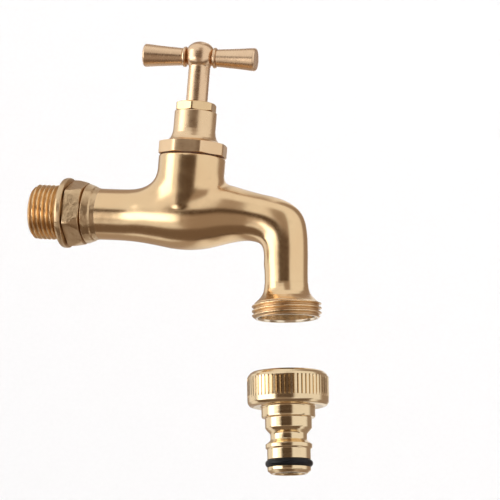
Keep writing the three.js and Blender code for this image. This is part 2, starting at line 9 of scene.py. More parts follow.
import bmesh
import bpy
import numpy as np
from mathutils import Matrix, Vector


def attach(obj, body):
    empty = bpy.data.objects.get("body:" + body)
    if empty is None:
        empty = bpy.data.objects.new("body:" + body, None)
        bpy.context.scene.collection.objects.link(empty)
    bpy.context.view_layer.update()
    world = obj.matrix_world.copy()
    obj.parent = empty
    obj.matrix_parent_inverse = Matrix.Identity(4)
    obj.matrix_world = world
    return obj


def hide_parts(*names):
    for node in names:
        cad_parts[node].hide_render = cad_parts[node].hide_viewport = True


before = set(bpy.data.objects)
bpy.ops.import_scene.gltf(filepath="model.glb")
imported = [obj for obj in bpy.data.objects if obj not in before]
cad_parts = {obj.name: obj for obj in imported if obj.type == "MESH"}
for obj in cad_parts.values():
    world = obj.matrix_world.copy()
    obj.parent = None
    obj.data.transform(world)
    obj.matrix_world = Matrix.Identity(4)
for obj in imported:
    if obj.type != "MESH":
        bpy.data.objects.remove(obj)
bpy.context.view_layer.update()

MM = 0.001
RING_PITCH = 0.5 * MM

# ---------------------------------------------------------------- dimensions, as in the CAD

STEM_X = 61.5
OUTLET_X = 100.4
OUTLET_SPLAY = math.radians(5.5)
OUTLET_FACE = -37.25
CONNECTOR_RIM = -57.55

INLET_THREAD = {"crest": 10.48, "root": 9.32, "pitch": 1.814}
OUTLET_THREAD = {"crest": 13.22, "root": 12.06, "pitch": 1.814}
BONNET_THREAD = {"crest": 10.0, "root": 9.1, "pitch": 1.5}
SPINDLE_THREAD = {"crest": 6.0, "root": 4.95, "pitch": 2.0}
GLAND_THREAD = {"crest": 6.5, "root": 5.85, "pitch": 1.0}
THREAD_CLEARANCE = 0.24

NECK_RADIUS = 12.75
NECK_TOP = 23.15
SHANK = 4.1
BOSS = {"radius": 5.5, "crown": 4.6, "bottom": 61.4, "top": 63.3}
ARM_HEIGHT = 61.8
ARM_TURN = math.radians(4)

# Spanner flats. turn is the angle of the first corner in degrees, from -Y towards +X.
INLET_HEX = {"across": 22.7, "turn": -33.35, "corner": 0.5}
BONNET_OCTAGON = {"across": 25.0, "turn": 29.4, "corner": 0.55, "top": 28.4}
GLAND_HEX = {"across": 14.0, "turn": 3.3, "corner": 0.35}

KNURL = {"ribs": 60, "columns": 10, "radius": 15.4, "depth": 0.55}
# The centre is measured from the connector's rim.
O_RING = {"centre": -34.7, "radius": 7.6, "section": 1.4}

# Places of the local axes. Lathe pieces are made up their own +Z.
WORLD = Matrix.Identity(4)
ALONG_X = Matrix.Rotation(math.pi / 2, 4, "Y")
ON_STEM = Matrix.Translation((STEM_X * MM, 0, 0))
ON_OUTLET = Matrix.Translation((OUTLET_X * MM, 0, 0)) @ Matrix.Rotation(-OUTLET_SPLAY, 4, "Y")

# ---------------------------------------------------------------- profiles


def rounded(points, step=0.0):
    """A polyline of [a, b] or [a, b, fillet] points, its corners turned into arcs. Short support
    segments beside each arc keep the flat parts flat when shaded, and step limits long segments."""
    pts = [np.array(p[:2], float) for p in points]
    fillets = [p[2] if len(p) > 2 else 0.0 for p in points]
    out = [pts[0]]
    for i in range(1, len(pts) - 1):
        before, after = pts[i - 1] - pts[i], pts[i + 1] - pts[i]
        la, lb = np.linalg.norm(before), np.linalg.norm(after)
        before, after = before / la, after / lb
        turn = math.pi - math.acos(max(-1.0, min(1.0, float(before @ after))))
        if fillets[i] <= 0 or turn < 0.02:
            out.append(pts[i])
            continue
        reach = min(fillets[i] * math.tan(turn / 2), 0.48 * la, 0.48 * lb)
        radius = reach / math.tan(turn / 2)
        bisector = before + after
        centre = pts[i] + bisector / np.linalg.norm(bisector) * radius / math.cos(turn / 2)
        start, end = pts[i] + before * reach, pts[i] + after * reach
        count = max(2, int(math.ceil(turn / 0.3)))
        pad = min(0.12, 0.2 * reach + 0.02)
        if reach + pad < 0.49 * la:
            out.append(start + before * pad)
        a0 = math.atan2(*(start - centre)[::-1])
        a1 = math.atan2(*(end - centre)[::-1])
        sweep = (a1 - a0 + math.pi) % (2 * math.pi) - math.pi
        for k in range(count + 1):
            a = a0 + sweep * k / count
            out.append(centre + radius * np.array([math.cos(a), math.sin(a)]))
        if reach + pad < 0.49 * lb:
            out.append(end + after * pad)
    out.append(pts[-1])
    if step:
        dense = [out[0]]
        for p, q in zip(out, out[1:]):
            n = max(1, int(math.ceil(np.linalg.norm(q - p) / step)))
            dense += [p + (q - p) * (k + 1) / n for k in range(n)]
        out = dense
    return [tuple(p) for p in out]


def smooth_min(a, b, k):
    h = np.clip(0.5 + 0.5 * (b - a) / k, 0, 1)
    return b + (a - b) * h - k * h * (1 - h)


def smooth_max(a, b, k):
    return -smooth_min(-a, -b, k)


def smoothstep(low, high, x):
    t = np.clip((x - low) / (high - low), 0, 1)
    return t * t * (3 - 2 * t)


def thread_radius(thread, theta, z, extra=0.0, roundness=0.12):
    """Radius of a right-hand thread at an angle and a height, its crest and root rounded."""
    phase = z / thread["pitch"] - theta / (2 * np.pi)
    ramp = 1 - np.abs(2 * (phase - np.floor(phase)) - 1)
    share = np.clip((ramp - roundness) / (1 - 2 * roundness), 0, 1)
    wave = 0.5 * share + 0.5 * (0.5 - 0.5 * np.cos(np.pi * share))
    return thread["root"] + extra + (thread["crest"] - thread["root"]) * wave


def polygon_radius(theta, sides, across, turn, corner):
    """Radius of a polygon at an angle. turn is where its first corner is, from -Y towards +X."""
    first = math.radians(turn) - math.pi / 2
    step = 2 * np.pi / sides
    local = (theta - first) % step - step / 2
    flat = across / 2 / np.cos(local)
    sharp = across / 2 / math.cos(step / 2)
    return smooth_min(flat, np.full_like(flat, sharp - corner * 0.35), corner)


def columns(count, sides=0, turn=0.0, spread=math.radians(4.5), extra=7):
    """Angles of the columns round a piece, closer together beside a polygon's corners."""
    even = np.linspace(0, 2 * np.pi, count, endpoint=False)
    if not sides:
        return even
    first = math.radians(turn) - math.pi / 2
    step = 2 * np.pi / sides
    local = (even - first + step / 2) % step - step / 2
    kept = even[np.abs(local) > spread]
    fine = [first + k * step + np.linspace(-spread, spread, extra) for k in range(sides)]
    return np.sort(np.concatenate([kept, *fine]) % (2 * np.pi))


# ---------------------------------------------------------------- meshes


class Lathe:
    """Rows of radius and height round the Z axis, each with a radius for every column, and the
    cavity and edge shares that the metal uses for tarnish and painted shade, and for wear and painted
    highlights."""

    def __init__(self, angles):
        self.angles = angles
        self.radii, self.heights, self.cavity, self.edge, self.slots = [], [], [], [], []

    def row(self, radius, height, cavity=0.0, edge=0.0, slot=0):
        full = np.ones_like(self.angles)
        self.radii.append(radius * full)
        self.heights.append(height * full)
        self.cavity.append(cavity * full)
        self.edge.append(edge * full)
        self.slots.append(slot)

    def profile(self, points, step=0.0, slot=0, cavity=0.0):
        for radius, height in rounded(points, step):
            self.row(radius, height, cavity=cavity, slot=slot)

    def thread(self, thread, start, end, limit, extra=0.0, per_turn=14, inside=False, slot=0):
        """Rows of a thread between two heights. limit(z) is the radius of the bevelled envelope."""
        count = max(2, int(abs(end - start) / thread["pitch"] * per_turn))
        depth = thread["crest"] - thread["root"]
        for z in np.linspace(start, end, count + 1):
            radius = thread_radius(thread, self.angles, z, extra)
            bound = limit(z) * np.ones_like(radius)
            share = (radius - thread["root"] - extra) / depth
            blend = smooth_max if inside else smooth_min
            radius = blend(radius, bound, 0.12)
            low = share if inside else 1 - share
            # Roots get the hollow share, tarnish and painted shade; crests the edge share, wear and painted
            # highlight.
            self.row(radius, z, cavity=low**1.5, edge=(1 - low) ** 4, slot=slot)

    def mesh(self, name, closed):
        rows, count = len(self.radii), len(self.angles)
        radii, heights = np.array(self.radii), np.array(self.heights)
        x, y = radii * np.cos(self.angles), radii * np.sin(self.angles)
        points = np.stack([x, y, heights], -1).reshape(-1, 3)
        i = np.arange(rows if closed else rows - 1)[:, None]
        j = np.arange(count)[None, :]
        after, beside = (i + 1) % rows, (j + 1) % count
        quads = np.stack(np.broadcast_arrays(
            i * count + j, i * count + beside, after * count + beside, after * count + j), -1)
        slots = np.repeat(np.array(self.slots)[: len(i)], count)
        values = {"cavity": np.array(self.cavity).ravel(), "edge": np.array(self.edge).ravel()}
        return make_mesh(name, points, quads.reshape(-1, 4), values, slots)


def make_mesh(name, points, faces, values=None, slots=None, normals=None):
    """A smooth-shaded mesh of quads, welded where points meet, with its point attributes."""
    mesh = bpy.data.meshes.new(name)
    points = np.asarray(points, float) * MM
    flat = np.ascontiguousarray(faces, np.int32)
    mesh.vertices.add(len(points))
    mesh.vertices.foreach_set("co", points.astype(np.float32).ravel())
    mesh.loops.add(flat.size)
    mesh.loops.foreach_set("vertex_index", flat.ravel())
    mesh.polygons.add(len(flat))
    mesh.polygons.foreach_set("loop_start", np.arange(0, flat.size, flat.shape[1], dtype=np.int32))
    mesh.polygons.foreach_set("use_smooth", np.ones(len(flat), bool))
    if slots is not None:
        mesh.polygons.foreach_set("material_index", slots.astype(np.int32))
    for key, value in (values or {}).items():
        layer = mesh.attributes.new(key, "FLOAT", "POINT")
        layer.data.foreach_set("value", value.astype(np.float32))
    mesh.update(calc_edges=True)
    mesh.validate(clean_customdata=False)
    if normals is not None:
        mesh.normals_split_custom_set_from_vertices(normals.tolist())
    return mesh


def place(mesh, name, placement, body, nodes, materials, sharp=40.0, weld=False):
    """Puts a piece on its axis, on its body, in the place of its CAD nodes."""
    if weld:
        bm = bmesh.new()
        bm.from_mesh(mesh)
        bmesh.ops.remove_doubles(bm, verts=bm.verts, dist=1e-7)
        bm.to_mesh(mesh)
        bm.free()
    if sharp:
        mesh.set_sharp_from_angle(angle=math.radians(sharp))
    for material in materials:
        mesh.materials.append(material)
    obj = bpy.data.objects.new(name, mesh)
    bpy.context.scene.collection.objects.link(obj)
    obj.matrix_world = placement
    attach(obj, body)
    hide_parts(*nodes)


# ---------------------------------------------------------------- materials


class Graph:
    """A small helper that builds a node tree."""

    def __init__(self, tree):
        self.tree = tree
        self.tree.nodes.clear()

    def link(self, a, b):
        self.tree.links.new(a, b)

    def put(self, socket, value):
        if isinstance(value, bpy.types.NodeSocket):
            self.link(value, socket)
        else:
            socket.default_value = value

    def math(self, operation, a, b=0.0):
        node = self.tree.nodes.new("ShaderNodeMath")
        node.operation = operation
        self.put(node.inputs[0], a)
        self.put(node.inputs[1], b)
        return node.outputs[0]

    def scaled(self, vector, scale):
        node = self.tree.nodes.new("ShaderNodeVectorMath")
        node.operation = "MULTIPLY"
        self.put(node.inputs[0], vector)
        self.put(node.inputs[1], scale)
        return node.outputs[0]

    def noise(self, vector, scale, detail, rough, distortion=0.0):
        node = self.tree.nodes.new("ShaderNodeTexNoise")
        self.put(node.inputs["Vector"], vector)
        self.put(node.inputs["Scale"], scale)
        self.put(node.inputs["Detail"], detail)
        self.put(node.inputs["Roughness"], rough)
        self.put(node.inputs["Distortion"], distortion)
        return node.outputs["Fac"]

    def remap(self, value, low, high, to_low=0.0, to_high=1.0):
        node = self.tree.nodes.new("ShaderNodeMapRange")
        node.clamp = True
        for socket, number in zip(node.inputs[:5], (value, low, high, to_low, to_high)):
            self.put(socket, number)
        return node.outputs[0]

    def mix(self, factor, a, b):
        node = self.tree.nodes.new("ShaderNodeMix")
        node.data_type = "RGBA"
        self.put(node.inputs[0], factor)
        self.put(node.inputs[6], a)
        self.put(node.inputs[7], b)
        return node.outputs[2]

    def attribute(self, name):
        node = self.tree.nodes.new("ShaderNodeAttribute")
        node.attribute_name = name
        return node.outputs["Fac"]

    def bump(self, height, strength, distance, normal=None):
        node = self.tree.nodes.new("ShaderNodeBump")
        self.put(node.inputs["Height"], height)
        self.put(node.inputs["Strength"], strength)
        self.put(node.inputs["Distance"], distance)
        if normal is not None:
            self.put(node.inputs["Normal"], normal)
        return node.outputs[0]

    def parts(self, vector):
        node = self.tree.nodes.new("ShaderNodeSeparateXYZ")
        self.put(node.inputs[0], vector)
        return node.outputs

    def joined(self, *values):
        node = self.tree.nodes.new("ShaderNodeCombineXYZ")
        for socket, value in zip(node.inputs, values):
            self.put(socket, value)
        return node.outputs[0]

    def around_axis(self, along, across):
        """Coordinates for turned work: fine along the axis and outwards, long round it."""
        x, y, z = self.parts(self.coordinates)
        length = self.tree.nodes.new("ShaderNodeVectorMath")
        length.operation = "LENGTH"
        self.put(length.inputs[0], self.joined(x, y))
        turn = self.math("ABSOLUTE", self.math("ARCTAN2", y, x))
        return self.joined(
            self.math("MULTIPLY", length.outputs["Value"], along),
            self.math("MULTIPLY", turn, across),
            self.math("MULTIPLY", z, along))

    def zone(self, value, low, high, soft):
        """1 between two values, falling to 0 over a soft margin outside each."""
        rise = self.remap(value, low - soft, low)
        fall = self.remap(value, high, high + soft, 1.0, 0.0)
        return self.math("MULTIPLY", rise, fall)


class Nodes(Graph):
    """The node tree of a new material."""

    def __init__(self, name):
        self.material = bpy.data.materials.new(name)
        self.material.use_nodes = True
        super().__init__(self.material.node_tree)
        self.output = self.tree.nodes.new("ShaderNodeOutputMaterial")
        self.shader = self.tree.nodes.new("ShaderNodeBsdfPrincipled")
        self.link(self.shader.outputs[0], self.output.inputs["Surface"])
        self.coordinates = self.tree.nodes.new("ShaderNodeTexCoord").outputs["Object"]

    def finish(self, colour, roughness, metallic, normal=None):
        """Joins the colour and the rest to the shader, and gives the material."""
        self.put(self.shader.inputs["Base Color"], colour)
        self.put(self.shader.inputs["Roughness"], roughness)
        self.put(self.shader.inputs["Metallic"], metallic)
        if normal is not None:
            self.put(self.shader.inputs["Normal"], normal)
        return self.material


def brass(name, base, warm, dark, roughness, turned=0.0, cast=0.0, forged=0.0, hollow=0.6):
    """Brass with colour drift, tarnish and painted shade in its hollows, and paler wear and painted
    highlights on its edges. turned, cast and forged are the strengths of lathe rings, of polished
    casting ripple and of forge scale."""
    n = Nodes(name)
    drift = n.noise(n.coordinates, 45.0, 3.0, 0.55, 0.4)
    fine = n.noise(n.coordinates, 700.0, 3.0, 0.55)
    colour = n.mix(n.remap(drift, 0.35, 0.68), (*base, 1), (*warm, 1))
    stain = n.remap(n.noise(n.coordinates, 120.0, 4.0, 0.6, 0.6), 0.56, 0.80, 0.0, 0.12 + 0.35 * forged)
    colour = n.mix(stain, colour, (*dark, 1))
    # The hollow share mixes in the dark colour: tarnish and painted shade in the hollows.
    cavity = n.attribute("cavity")
    colour = n.mix(n.math("MULTIPLY", cavity, hollow), colour, (*dark, 1))
    # The edge share mixes in a paler colour: wear, and painted highlights on edges.
    edge = n.attribute("edge")
    pale = tuple(min(1.0, c * 1.10 + 0.03) for c in base)
    colour = n.mix(n.math("MULTIPLY", edge, 0.5), colour, (*pale, 1))
    rough = n.remap(fine, 0.3, 0.7, roughness * 0.9, roughness * 1.12)
    rough = n.math("ADD", rough, n.math("MULTIPLY", cavity, 0.12))
    rough = n.math("ADD", rough, n.math("MULTIPLY", stain, 0.2))
    normal = None
    if turned:
        rings = n.noise(n.around_axis(1 / RING_PITCH, 0.12), 1.0, 1.0, 0.5)
        normal = n.bump(rings, turned, 0.00003, normal)
        rough = n.math("ADD", rough, n.remap(rings, 0.3, 0.7, -0.02, 0.04))
    if cast:
        ripple = n.noise(n.coordinates, 90.0, 2.0, 0.4, 0.2)
        normal = n.bump(ripple, cast, 0.0012, normal)
        streaks = n.noise(n.scaled(n.coordinates, (0.15, 1.0, 1.0)), 300.0, 3.0, 0.55, 0.3)
        rough = n.math("ADD", rough, n.remap(streaks, 0.4, 0.7, -0.015, 0.02))
        grain = n.noise(n.coordinates, 1400.0, 2.0, 0.5)
        normal = n.bump(grain, cast * 0.5, 0.00004, normal)
    if forged:
        pits = n.noise(n.coordinates, 1100.0, 3.0, 0.6)
        normal = n.bump(pits, forged, 0.00016, normal)
        waves = n.noise(n.coordinates, 300.0, 3.0, 0.5)
        normal = n.bump(waves, forged * 0.8, 0.0009, normal)
    return n.finish(colour, rough, 1.0, normal)


def dull(name, base, other, roughness, scale, depth, gloss=0.5):
    """A non-metal: two tones of fine noise, and a bump of the same grain."""
    n = Nodes(name)
    grain = n.noise(n.coordinates, scale, 4.0, 0.6)
    broad = n.noise(n.coordinates, scale * 0.08, 3.0, 0.5)
    colour = n.mix(n.remap(broad, 0.3, 0.7), (*base, 1), (*other, 1))
    colour = n.mix(n.remap(grain, 0.35, 0.75, 0.0, 0.5), colour, (*other, 1))
    rough = n.remap(grain, 0.3, 0.7, roughness * 0.85, min(1.0, roughness * 1.15))
    n.put(n.shader.inputs["Specular IOR Level"], gloss)
    return n.finish(colour, rough, 0.0, n.bump(grain, 0.6, depth))


def braid(name):
    """Square braided packing: crossing strands on a dark graphite ground."""
    n = Nodes(name)
    around = n.around_axis(1.0 / (0.55 * MM), 9.0)
    strands = n.tree.nodes.new("ShaderNodeTexChecker")
    n.put(strands.inputs["Vector"], around)
    n.put(strands.inputs["Scale"], 1.0)
    fuzz = n.noise(n.coordinates, 3200.0, 4.0, 0.65)
    height = n.math("ADD", n.math("MULTIPLY", strands.outputs["Fac"], 0.6), fuzz)
    colour = n.mix(n.remap(height, 0.3, 1.3), (0.02, 0.02, 0.022, 1), (0.10, 0.10, 0.105, 1))
    return n.finish(colour, 0.62, 0.15, n.bump(height, 0.7, 0.00015))


# Each metal: its colour, its warmer drift, its tarnish and painted-shade colour, its roughness and its
# finish.
CAST = brass("cast_brass", (0.86, 0.63, 0.375), (0.84, 0.595, 0.345), (0.40, 0.25, 0.12), 0.20, cast=0.10)
FORGED = brass("forged_brass", (0.72, 0.52, 0.31), (0.60, 0.42, 0.24), (0.24, 0.15, 0.07), 0.30, forged=0.5)
BONNET = brass("bonnet_brass", (0.88, 0.65, 0.41), (0.85, 0.62, 0.38), (0.42, 0.27, 0.14), 0.30, cast=0.06)
MILLED = brass("milled_brass", (0.88, 0.64, 0.40), (0.85, 0.60, 0.36), (0.42, 0.27, 0.14), 0.31, turned=0.1)
OUTLET = brass(
    "outlet_brass", (0.90, 0.68, 0.44), (0.88, 0.65, 0.41), (0.48, 0.31, 0.16), 0.24,
    turned=0.08, hollow=0.4)
MOUTH = brass("mouth_brass", (0.95, 0.84, 0.68), (0.93, 0.80, 0.62), (0.60, 0.44, 0.28), 0.16, turned=0.05)
TURNED = brass("turned_brass", (0.84, 0.62, 0.36), (0.80, 0.57, 0.32), (0.36, 0.22, 0.10), 0.22, turned=0.25)
MACHINED = brass(
    "machined_brass", (0.86, 0.60, 0.33), (0.84, 0.56, 0.29), (0.45, 0.27, 0.12), 0.24,
    turned=0.08, hollow=0.4)
HANDLE = brass("handle_brass", (0.86, 0.63, 0.42), (0.83, 0.58, 0.37), (0.42, 0.27, 0.15), 0.27, turned=0.1)
BRIGHT = brass(
    "bright_brass", (0.88, 0.70, 0.45), (0.86, 0.66, 0.41), (0.36, 0.24, 0.13), 0.15,
    turned=0.15, hollow=0.75)
RUBBER = dull(
    "rubber_black", (0.004, 0.004, 0.005), (0.009, 0.009, 0.011), 0.34, 2400.0, 0.00003, gloss=0.22)
FIBRE = dull("fibre_red", (0.15, 0.075, 0.045), (0.20, 0.10, 0.06), 0.85, 1800.0, 0.00008)
PACKING = braid("packing_braid")
STEEL = brass("spring_steel", (0.52, 0.53, 0.55), (0.46, 0.47, 0.49), (0.20, 0.20, 0.21), 0.28, turned=0.2)

# ---------------------------------------------------------------- the casting's implicit shape


class Spline:
    """A natural cubic spline through rows of values."""

    def __init__(self, knots, values):
        knots, values = np.asarray(knots, float), np.asarray(values, float)
        h = np.diff(knots)
        n = len(knots)
        system = np.zeros((n, n))
        right = np.zeros_like(values)
        system[0, 0] = system[-1, -1] = 1
        for i in range(1, n - 1):
            system[i, i - 1 : i + 2] = h[i - 1], 2 * (h[i - 1] + h[i]), h[i]
            right[i] = 6 * ((values[i + 1] - values[i]) / h[i] - (values[i] - values[i - 1]) / h[i - 1])
        self.knots, self.values, self.bends = knots, values, np.linalg.solve(system, right)

    def __call__(self, t):
        i = np.clip(np.searchsorted(self.knots, t) - 1, 0, len(self.knots) - 2)
        h = (self.knots[i + 1] - self.knots[i])[:, None]
        a = (self.knots[i + 1][:, None] - t[:, None]) / h
        b = 1 - a
        cubic = ((a**3 - a) * self.bends[i] + (b**3 - b) * self.bends[i + 1]) * h * h / 6
        return a * self.values[i] + b * self.values[i + 1] + cubic


class Sweep:
    """A tube of elliptical rings. Each ring is its lower and upper point in the XZ plane and its
    half width. A point's own ring is the one whose line through those two points it lies on."""

    def __init__(self, rings, samples=400):
        rows = np.array([[*low, *high, half] for low, high, half in rings], float)
        centres = (rows[:, :2] + rows[:, 2:4]) / 2
        knots = np.concatenate([[0], np.cumsum(np.linalg.norm(np.diff(centres, axis=0), axis=1))])
        self.spline = Spline(knots, rows)
        self.low, self.high = knots[0], knots[-1]
        self.table = np.linspace(self.low, self.high, samples)
        self.rows = self.spline(self.table)

    def offset(self, rows, x, z):
        """How far a point is along the sweep from a ring's line, and where on the line it is."""
        chord = rows[:, 2:4] - rows[:, :2]
        half = np.linalg.norm(chord, axis=1) / 2
        along = chord / (2 * half[:, None])
        dx = x - (rows[:, 0] + rows[:, 2]) / 2
        dz = z - (rows[:, 1] + rows[:, 3]) / 2
        return dx * along[:, 1] - dz * along[:, 0], dx * along[:, 0] + dz * along[:, 1], half

    def nearest(self, x, z):
        """Ring parameters for points, from the sampled ring that holds each point best."""
        best = np.zeros(len(x))
        score = np.full(len(x), np.inf)
        previous = None
        for k in range(len(self.table)):
            row = np.repeat(self.rows[k : k + 1], len(x), axis=0)
            away, across, half = self.offset(row, x, z)
            if previous is not None:
                crossed = (previous >= 0) & (away <= 0)
                share = previous / np.maximum(previous - away, 1e-9)
                better = crossed & (np.abs(across) / half < score)
                score = np.where(better, np.abs(across) / half, score)
                step = self.table[k] - self.table[k - 1]
                best = np.where(better, self.table[k - 1] + share * step, best)
            else:
                best = np.where(away < 0, self.low, self.high)
            previous = away
        return best

    def distance(self, x, y, z, t):
        """Roughly the distance to the tube, negative inside, and the outward direction."""
        eps = 0.02
        for _ in range(3):
            here, _, _ = self.offset(self.spline(t), x, z)
            there, _, _ = self.offset(self.spline(t + eps), x, z)
            slope = (there - here) / eps
            slope = np.where(np.abs(slope) < 0.05, -0.05, slope)
            t = np.clip(t - np.clip(here / slope, -2, 2), self.low, self.high)
        rows = self.spline(t)
        _, across, half = self.offset(rows, x, z)
        width = rows[:, 4]
        share = np.sqrt((across / half) ** 2 + (y / width) ** 2) + 1e-9
        length = np.sqrt(across**2 + y**2)
        chord = (rows[:, 2:4] - rows[:, :2]) / (2 * half[:, None])
        lean = across / half**2
        direction = np.stack([chord[:, 0] * lean, y / width**2, chord[:, 1] * lean], -1)
        direction /= np.linalg.norm(direction, axis=1, keepdims=True) + 1e-9
        return np.where(share < 1e-3, -width, length - length / share), direction


def outlet_point(height, x):
    """A point beside the outlet's leaning axis, in the XZ plane."""
    return (OUTLET_X + x * math.cos(OUTLET_SPLAY) - height * math.sin(OUTLET_SPLAY),
            x * math.sin(OUTLET_SPLAY) + height * math.cos(OUTLET_SPLAY))


def outlet_ring(height, radius):
    return (outlet_point(height, -radius), outlet_point(height, radius), radius)


BODY_RINGS = [
    ((20, -9.75), (20, 9.75), 9.75), ((28, -9.75), (28, 9.75), 9.75), ((36, -9.78), (36, 9.78), 9.75),
    ((40.5, -10.0), (40.5, 10.1), 10.0), ((45, -10.45), (45, 11.0), 10.8),
    ((50, -11.15), (50, 11.6), 11.5), ((55.5, -12.0), (55.5, 12.1), 12.2),
    ((61, -12.4), (61, 12.6), 12.6), ((66.5, -12.1), (66.8, 12.9), 12.5),
    ((72, -11.05), (72.8, 13.0), 11.9), ((77, -9.65), (78.2, 12.7), 11.0),
    ((81.5, -8.6), (83.2, 11.5), 10.0), ((85.5, -8.05), (88.0, 10.4), 9.2),
    ((88.3, -8.2), (92.6, 9.5), 8.9), ((90.5, -8.75), (97.0, 8.6), 8.75),
    ((92.0, -9.8), (101.0, 7.2), 8.6), ((92.85, -11.3), (104.6, 5.0), 8.4),
    ((93.25, -12.9), (107.2, 1.8), 8.3), ((93.5, -14.7), (108.7, -2.5), 8.25),
    ((93.6, -17.0), (109.7, -9.2), 8.2), outlet_ring(-19.5, 8.2), outlet_ring(-26.0, 8.2),
    outlet_ring(-33.0, 8.2), outlet_ring(-40.0, 8.2),
]
INLET_WAY = [
    ((14, -6.4), (14, 6.4), 6.4), ((26, -6.4), (26, 6.4), 6.4), ((40, -6.3), (40, 6.3), 6.3),
    ((45, -6.9), (45.5, 5.0), 6.2), ((49.5, -8.2), (51, 1.5), 5.8),
    ((55, -9.3), (55.5, -1.4), 5.6), ((61, -9.5), (61, -1.6), 5.5),
]
OUTLET_WAY = [
    ((63, 1.4), (63, 11.2), 5.6), ((74, 0.0), (75, 10.2), 5.6), ((82, -3.6), (83.5, 8.0), 5.9),
    ((87.5, -5.4), (90.5, 7.0), 6.0), ((91.6, -6.5), (97.0, 5.6), 6.0),
    ((94.0, -8.6), (102.0, 3.2), 6.0), ((95.2, -11.2), (105.6, -1.2), 6.0),
    ((95.7, -14.4), (107.0, -8.0), 6.0), outlet_ring(-18, 6.0), outlet_ring(-26, 6.0),
    outlet_ring(-34, 6.0), outlet_ring(-42, 6.0),
]
CAST_START = 24.4
CAST_END = -32.4


def capped(value, *planes):
    """A field cut off by others."""
    for plane in planes:
        value = np.maximum(value, plane)
    return value


def casting_field(sweeps, p, ts):
    """Signed distance to the casting, negative in its metal."""
    x, y, z = p.T
    tube, tube_out = sweeps[0].distance(x, y, z, ts[0])
    reach = np.hypot(x - STEM_X, y)
    drop = np.maximum(0.0, 3.2 - z)
    neck_radius = NECK_RADIUS - 0.055 * drop**2
    neck = smooth_max(reach - neck_radius, z - NECK_TOP, 0.8)
    neck = np.maximum(neck, -6.0 - z)
    neck_out = np.stack([x - STEM_X, y, 0 * z], -1) / (reach[:, None] + 1e-9)
    facing = np.clip((tube_out * neck_out).sum(1), -1, 1)
    side = smoothstep(-8.0, 8.0, x - STEM_X)
    fillet = (7.2 * (1 - side) + 4.6 * side) * np.clip(1 - facing**2, 0, 1) + 0.05
    outside = smooth_min(tube, neck, fillet)
    down = (x - OUTLET_X) * -math.sin(OUTLET_SPLAY) + z * math.cos(OUTLET_SPLAY)
    outside = capped(outside, CAST_START - x)
    outside = np.where(x > 85, np.maximum(outside, CAST_END - down), outside)
    inlet, _ = sweeps[1].distance(x, y, z, ts[1])
    inlet = capped(inlet, x - 61.5, 10 - x)
    outlet, _ = sweeps[2].distance(x, y, z, ts[2])
    outlet = capped(outlet, 63 - x)
    under = capped(reach - 5.9, z + 1.6, -9.3 - z)
    core = capped(reach - 5.5, -3.0 - z)
    chamber = capped(reach - 8.9, 0.8 - z)
    rim = capped(reach - 7.4, z - 2.0)
    chamber = np.maximum(chamber, -rim)
    inside = np.minimum.reduce([inlet, outlet, under, core, chamber])
    return np.maximum(outside, -inside)


def surface_net(field, origin, cell):
    """Quads round the zero level of a field on a grid, by naive surface nets."""
    inside = field < 0
    nx, ny, nz = field.shape
    total = np.zeros((nx - 1, ny - 1, nz - 1, 3))
    hits = np.zeros((nx - 1, ny - 1, nz - 1))
    corners = [(i, j, k) for i in (0, 1) for j in (0, 1) for k in (0, 1)]

    def corner(array, c):
        return array[c[0] : nx - 1 + c[0], c[1] : ny - 1 + c[1], c[2] : nz - 1 + c[2]]

    for a in corners:
        for axis in range(3):
            if a[axis]:
                continue
            b = tuple(1 if m == axis else a[m] for m in range(3))
            va, vb = corner(field, a), corner(field, b)
            cross = corner(inside, a) != corner(inside, b)
            share = np.where(cross, va / np.where(cross, va - vb, 1), 0)
            for m in range(3):
                total[..., m] += cross * (a[m] + (share if m == axis else 0))
            hits += cross
    used = hits > 0
    index = np.full(used.shape, -1)
    index[used] = np.arange(used.sum())
    cells = np.argwhere(used)
    points = origin + cell * (cells + total[used] / hits[used][:, None])
    quads = []
    for axis in range(3):
        u, v = (axis + 1) % 3, (axis + 2) % 3
        first = [slice(0, n) for n in field.shape]
        second = [slice(0, n) for n in field.shape]
        first[axis] = slice(0, field.shape[axis] - 1)
        second[axis] = slice(1, field.shape[axis])
        for m in (u, v):
            first[m] = second[m] = slice(1, field.shape[m] - 1)
        a, b = inside[tuple(first)], inside[tuple(second)]
        for flip, edges in ((False, a & ~b), (True, ~a & b)):
            at = np.argwhere(edges)
            at[:, u] += 1
            at[:, v] += 1
            ring = []
            for du, dv in ((-1, -1), (0, -1), (0, 0), (-1, 0)):
                c = at.copy()
                c[:, u] += du
                c[:, v] += dv
                ring.append(index[c[:, 0], c[:, 1], c[:, 2]])
            quad = np.stack(ring, -1)
            quads.append(quad[:, ::-1] if flip else quad)
    return points, np.concatenate(quads)


